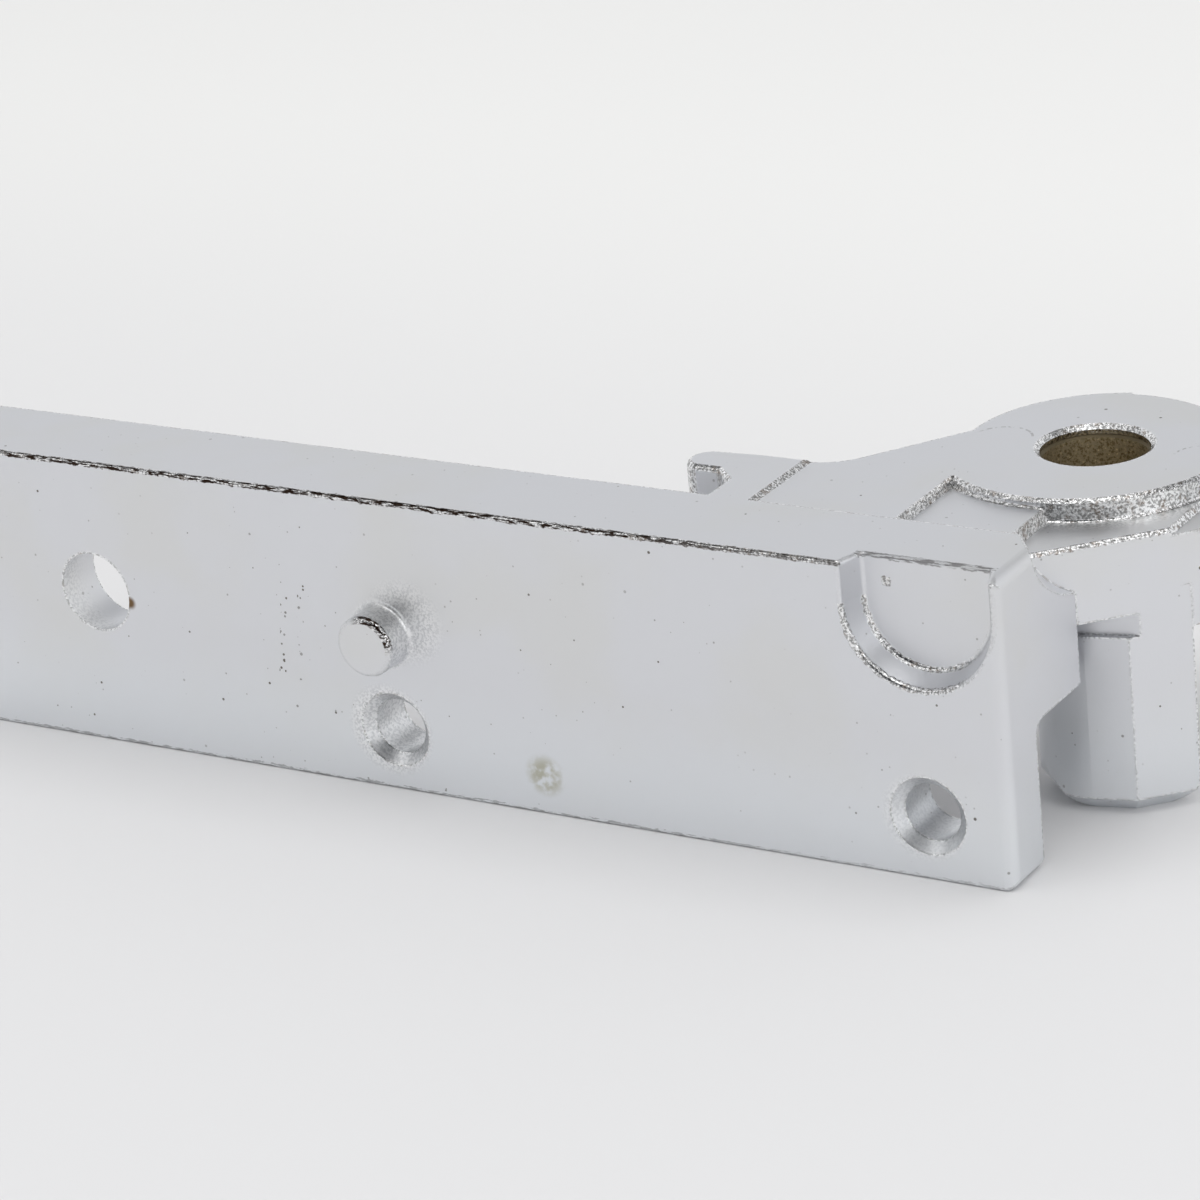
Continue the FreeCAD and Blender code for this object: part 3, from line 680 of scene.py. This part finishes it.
    def pocket_glint_mask(self, at: Ground, to_face: Node) -> Node:
        """Draws the two rounds at the lower left of the pocket, where painted glints make bright broken
        lines.

        Args:
            at: The material's ground.
            to_face: The distance behind the mounting face.

        Returns:
            A node that gives 1 on these rounds and 0 elsewhere.
        """
        tree = at.tree
        centre = (self.pocket_middle, 0.0, self.pocket_centre)
        flat = add_node(tree, "VectorMath", TIMES, {0: at.place, 1: Along.Y.value})
        away = add_node(tree, "VectorMath", DISTANCE, {0: flat, 1: centre})
        lines = []
        for radius, depth in ((self.pocket_rim_radius, 0.0), (self.pocket_floor_radius, self.pocket_depth)):
            inward = add_node(tree, "Math", MINUS, {0: away, 1: radius})
            down = add_node(tree, "Math", MINUS, {0: to_face, 1: depth})
            lines.append(self.finish.line_mask(at, inward, down))
        rounds = add_node(tree, "Math", LARGEST, {0: lines[0], 1: lines[1]})
        low = add_node(tree, "Math", BELOW, {0: at.z, 1: self.pocket_centre})
        left = add_node(tree, "MapRange", SMOOTH, self.pocket_left.of(at.x))
        for limit in (low, left):
            rounds = add_node(tree, "Math", TIMES, {0: rounds, 1: limit})
        return rounds

    def peg_reflection_mask(self, at: Ground) -> Node:
        """Finds the upper right of the round at the peg's tip, where a dark and bright reflection is
        painted.

        Args:
            at: The material's ground.

        Returns:
            A node that gives 1 there and 0 elsewhere.
        """
        ring = self.peg_reflection_ring.mask(at)
        tip = add_node(at.tree, "MapRange", SMOOTH, self.peg_tip.of(at.y))
        for limit in (tip, self.peg_side.mask(at)):
            ring = add_node(at.tree, "Math", TIMES, {0: ring, 1: limit})
        return ring

    def speck_mask(self, at: Ground, in_plate: Node) -> Node:
        """Puts fine pits in the two leaning lines left of the peg.

        Args:
            at: The material's ground.
            in_plate: The mask of the plate's thickness.

        Returns:
            A node that gives 1 in such a pit and 0 outside it.
        """
        tree = at.tree
        lean = add_node(tree, "Math", TIMES, {0: at.z, 1: self.speck_lean})
        upright = add_node(tree, "Math", MINUS, {0: at.x, 1: lean})
        left, right = (
            add_node(tree, "Math", WITHIN, {0: upright, 1: line, 2: self.speck_half_width})
            for line in self.speck_lines
        )
        specks = add_node(tree, "Math", LARGEST, {0: left, 1: right})
        inputs = {0: at.z, 1: self.speck_middle, 2: self.speck_half_length}
        span = add_node(tree, "Math", WITHIN, inputs)
        for limit in (span, self.finish.speck_pits.mask(at), in_plate):
            specks = add_node(tree, "Math", TIMES, {0: specks, 1: limit})
        return specks

    def pin_mask(self, at: Ground) -> Node:
        """Draws the dotted arcs that the ejector pins left on the disc.

        Args:
            at: The material's ground.

        Returns:
            A node that gives 1 on a dot and 0 elsewhere.
        """
        tree = at.tree
        flat = add_node(tree, "VectorMath", TIMES, {0: at.place, 1: Along.Z.value})
        arcs = []
        for x, y in self.pin_centres:
            away = add_node(tree, "VectorMath", DISTANCE, {0: flat, 1: (x, y, 0.0)})
            inputs = {0: away, 1: self.pin_radius, 2: self.pin_half_width}
            arcs.append(add_node(tree, "Math", WITHIN, inputs))
        line = add_node(tree, "Math", LARGEST, {0: arcs[0], 1: arcs[1]})
        back = add_node(tree, "MapRange", SMOOTH, self.pin_back.of(at.y))
        high = add_node(tree, "Math", ABOVE, {0: at.z, 1: self.pin_level})
        dots = add_node(tree, "TexNoise", None, self.finish.dot.over(at.place))
        dots = add_node(tree, "MapRange", SMOOTH, self.finish.dot_ramp.of(dots))
        for limit in (back, high, dots):
            line = add_node(tree, "Math", TIMES, {0: line, 1: limit})
        return line

    def edge_marks(self, at: Ground) -> tuple[Node, Node]:
        """Finds the unbuffed edges, and the dirt, painted dark reflections and painted contact shadow along
        them.

        Args:
            at: The material's ground.

        Returns:
            The mask of the sharp grain, and the mask of the dirt, painted dark reflections and painted
            contact shadow.
        """
        tree, finish = at.tree, self.finish
        to_face = add_node(tree, "Math", MINUS, {0: at.y, 1: self.mounting_face})
        to_pocket = add_node(tree, "Math", MINUS, {0: to_face, 1: self.pocket_depth})
        to_flank = add_node(tree, "Math", MINUS, {0: at.y, 1: at.x})
        to_flank = add_node(tree, "Math", MINUS, {0: to_flank, 1: self.flank_shift})
        to_top = add_node(tree, "Math", MINUS, {0: self.top_face, 1: at.z})
        to_foot = add_node(tree, "Math", MINUS, {0: at.z, 1: self.foot})
        to_shelf = add_node(tree, "Math", MINUS, {0: self.shelf, 1: at.z})

        front_line = finish.line_mask(at, to_face, to_top)
        flank_line = finish.line_mask(at, to_flank, to_shelf)
        # Painted dark and bright reflection on the round at the peg's tip
        peg_reflection_ring = self.peg_reflection_mask(at)
        grain = finish.edge_mask(at)
        others = (self.slope_mask(at), self.lip.mask(at), self.pocket_glint_mask(at, to_face))
        for other in (front_line, flank_line, peg_reflection_ring, *others):
            grain = add_node(tree, "Math", LARGEST, {0: grain, 1: other})

        # Painted contact shadow along the foot of the mounting face, where it meets the floor
        foot_shadow_line = finish.line_mask(at, to_face, to_foot)
        foot_shadow_line = add_node(tree, "Math", TIMES, {0: foot_shadow_line, 1: self.foot_shadow_strength})
        faint_line = add_node(tree, "Math", TIMES, {0: flank_line, 1: self.flank_dirt_and_reflection_strength})
        inputs = {0: at.x, 1: self.pocket_middle, 2: self.pocket_half_width}
        in_pocket = add_node(tree, "Math", WITHIN, inputs)
        pocket_line = finish.line_mask(at, to_pocket, to_top)
        pocket_line = add_node(tree, "Math", TIMES, {0: pocket_line, 1: in_pocket})
        edge_dirt_and_painted_shade = front_line
        for other in (foot_shadow_line, pocket_line, faint_line, peg_reflection_ring):
            edge_dirt_and_painted_shade = add_node(tree, "Math", LARGEST, {0: edge_dirt_and_painted_shade, 1: other})
        fade = add_node(tree, "MapRange", SMOOTH, self.edge_dirt_and_shade_fade.of(at.x))
        for limit in (finish.streak_mask(at), fade):
            edge_dirt_and_painted_shade = add_node(tree, "Math", TIMES, {0: edge_dirt_and_painted_shade, 1: limit})
        return grain, edge_dirt_and_painted_shade

    def marks(self, at: Ground) -> Marks:
        """Finds every place on the bracket that isn't plain buffed plate.

        Args:
            at: The material's ground.

        Returns:
            The masks.
        """
        tree, finish = at.tree, self.finish
        in_plate = add_node(tree, "Math", BELOW, {0: at.y, 1: self.plate_back})
        grain, edge_dirt_and_painted_shade = self.edge_marks(at)

        small = add_node(tree, "Math", TIMES, {0: finish.small_pits.mask(at), 1: finish.small_pit_strength})
        pits = finish.pits.mask(at)
        for other in (small, self.speck_mask(at, in_plate), self.pin_mask(at)):
            pits = add_node(tree, "Math", LARGEST, {0: pits, 1: other})

        spots = add_node(tree, "TexNoise", None, finish.spot.over(at.place))
        spots = add_node(tree, "MapRange", SMOOTH, finish.spot_ramp.of(spots))
        stain = self.stain.mask(at)
        for limit in (spots, in_plate):
            stain = add_node(tree, "Math", TIMES, {0: stain, 1: limit})

        return Marks(
            low=add_node(tree, "MapRange", SMOOTH, self.low_face.of(at.z)),
            stain=stain,
            patches=self.patch_mask(at, in_plate),
            grain=grain,
            bare=self.crescent.mask(at),
            edge_dirt_and_painted_shade=edge_dirt_and_painted_shade,
            pits=pits,
        )

    def build(self) -> None:
        """Dresses the CAD node."""
        material = new_material("satin_plated_zinc_casting")
        at = Ground.of(material.node_tree)
        self.finish.lay(at, self.marks(at))
        dress(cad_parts[self.node], material)
        LOG.info("%s dressed", self.node)


@dataclass
class PivotBush:
    """The plain bearing pressed into the eye."""

    node: str = "pivot_bush"
    finish: OiledBronze = field(default_factory=OiledBronze)

    def build(self) -> None:
        """Dresses the CAD node."""
        dress(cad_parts[self.node], self.finish.material())
        LOG.info("%s dressed", self.node)


@dataclass(frozen=True)
class Lamp:
    """A square soft box that looks at the part."""

    name: str
    place: tuple[float, float, float]
    side: float
    power: float

    def build(self, target: tuple[float, float, float]) -> None:
        """Hangs the soft box and turns it to the target.

        Args:
            target: The point that it looks at.
        """
        light = bpy.data.lights.new(self.name, "AREA")
        light.shape = "SQUARE"
        light.size = self.side
        light.energy = self.power
        holder = bpy.data.objects.new(self.name, light)
        way = Vector(target) - Vector(self.place)
        turn = way.to_track_quat("-Z", "Y").to_matrix().to_4x4()
        holder.matrix_world = Matrix.Translation(self.place) @ turn
        bpy.context.scene.collection.objects.link(holder)


@dataclass
class Studio:
    """The floor, the soft boxes and the pale surroundings."""

    floor_finish: MattLaminate = field(default_factory=MattLaminate)
    floor_radius: float = 4.0
    floor_segments: int = 96
    target: tuple[float, float, float] = (-0.03, -0.01, -0.01)
    backdrop_colour: str = "#EFEFEF"
    mirrored_colour: str = "#EDEEF0"
    room_colour: str = "#34363A"
    ambient_colour: str = "#FFFFFF"
    ambient: float = 0.69

    # What metal mirrors is pale behind the part up to one height, and all round up to a lower one
    behind: Ramp = Ramp(-0.5, 0.1)
    backdrop_top: Ramp = Ramp(0.8, 0.5)
    horizon_top: Ramp = Ramp(0.5, 0.2)

    lamps: tuple[Lamp, ...] = (
        Lamp("overhead_soft_box", (0.08, 0.00, 1.10), 1.0, 4.7),
        Lamp("right_soft_box", (1.00, -0.35, 0.65), 0.7, 2.0),
        Lamp("left_soft_box", (-0.80, -0.62, 0.98), 0.7, 1.7),
    )

    def build_floor(self) -> None:
        """Lays a round tabletop under the part's lowest point."""
        mesh = bpy.data.meshes.new("tabletop")
        disc = bmesh.new()
        bmesh.ops.create_circle(
            disc,
            cap_ends=True,
            segments=self.floor_segments,
            radius=self.floor_radius,
            matrix=Matrix.Translation((0.0, 0.0, CAD_BOX[0].z)),
        )
        disc.to_mesh(mesh)
        disc.free()
        floor = bpy.data.objects.new("tabletop", mesh)
        bpy.context.scene.collection.objects.link(floor)
        dress(floor, self.floor_finish.material())
        LOG.info("tabletop laid")

    def build_world(self) -> None:
        """Surrounds the part with even pale light, and shows metal a pale backdrop and a darker room."""
        world = bpy.data.worlds.new("pale_studio")
        world.use_nodes = True
        tree = world.node_tree
        tree.nodes.clear()
        way = add_node(tree, "TexCoord").outputs["Generated"]
        parts = add_node(tree, "SeparateXYZ", None, {0: way}).outputs
        behind = add_node(tree, "MapRange", SMOOTH, self.behind.of(parts[Y]))
        low = add_node(tree, "MapRange", SMOOTH, self.backdrop_top.of(parts[Z]))
        horizon = add_node(tree, "MapRange", SMOOTH, self.horizon_top.of(parts[Z]))
        pale = add_node(tree, "Math", TIMES, {0: behind, 1: low})
        pale = add_node(tree, "Math", LARGEST, {0: pale, 1: horizon})
        inputs = {"Factor": pale, "A": linear(self.room_colour), "B": linear(self.mirrored_colour)}
        mirrored = add_node(tree, "Mix", COLOURS, inputs)
        mirrored = add_node(tree, "Background", None, {"Color": mirrored})
        backdrop = add_node(tree, "Background", None, {"Color": linear(self.backdrop_colour)})
        inputs = {"Color": linear(self.ambient_colour), "Strength": self.ambient}
        ambient = add_node(tree, "Background", None, inputs)
        path = add_node(tree, "LightPath").outputs
        direct = {0: path["Is Camera Ray"], 1: path["Is Transmission Ray"]}
        direct = add_node(tree, "Math", LARGEST, direct)
        metal = add_node(tree, "MixShader", None, {0: path["Is Glossy Ray"], 1: ambient, 2: mirrored})
        mix = add_node(tree, "MixShader", None, {0: direct, 1: metal, 2: backdrop})
        add_node(tree, "OutputWorld", None, {"Surface": mix})
        bpy.context.scene.world = world

    def build(self) -> None:
        """Builds the floor, lamps and surroundings."""
        self.build_floor()
        for lamp in self.lamps:
            lamp.build(self.target)
        self.build_world()
        bpy.context.scene.view_settings.view_transform = "Standard"


@dataclass(frozen=True)
class PhotoCamera:
    """The camera at the photograph's angle: to the right of the mounting face and above it."""

    place: tuple[float, float, float] = (0.177964, -0.355258, 0.156776)
    azimuth_deg: float = 33.442
    elevation_deg: float = 22.169
    roll_deg: float = 5.939
    lens_mm: float = 136.16
    sensor_mm: float = 36.0
    nearest: float = 0.01
    furthest: float = 20.0

    def build(self) -> None:
        """Makes the camera and hands it to the scene."""
        angles = (self.azimuth_deg, self.elevation_deg, self.roll_deg)
        azimuth, elevation, roll = (math.radians(angle) for angle in angles)
        level = math.cos(elevation)
        ahead = Vector((-math.sin(azimuth) * level, math.cos(azimuth) * level, -math.sin(elevation)))
        right = Vector((math.cos(azimuth), math.sin(azimuth), 0.0))
        down = ahead.cross(right)
        across = math.cos(roll) * right + math.sin(roll) * down
        below = -math.sin(roll) * right + math.cos(roll) * down
        turn = Matrix((across, -below, -ahead)).transposed().to_4x4()
        lens = bpy.data.cameras.new("photo_camera")
        lens.lens = self.lens_mm
        lens.sensor_width = self.sensor_mm
        lens.clip_start = self.nearest
        lens.clip_end = self.furthest
        camera = bpy.data.objects.new("photo_camera", lens)
        camera.matrix_world = Matrix.Translation(self.place) @ turn
        bpy.context.scene.collection.objects.link(camera)
        bpy.context.scene.camera = camera


def main() -> None:
    """Dresses the two pieces and builds the studio round them."""
    logging.basicConfig(level=logging.INFO, format="%(message)s")
    PhotoCamera().build()
    HingeBracket().build()
    PivotBush().build()
    Studio().build()


if __name__ == "__main__":
    main()
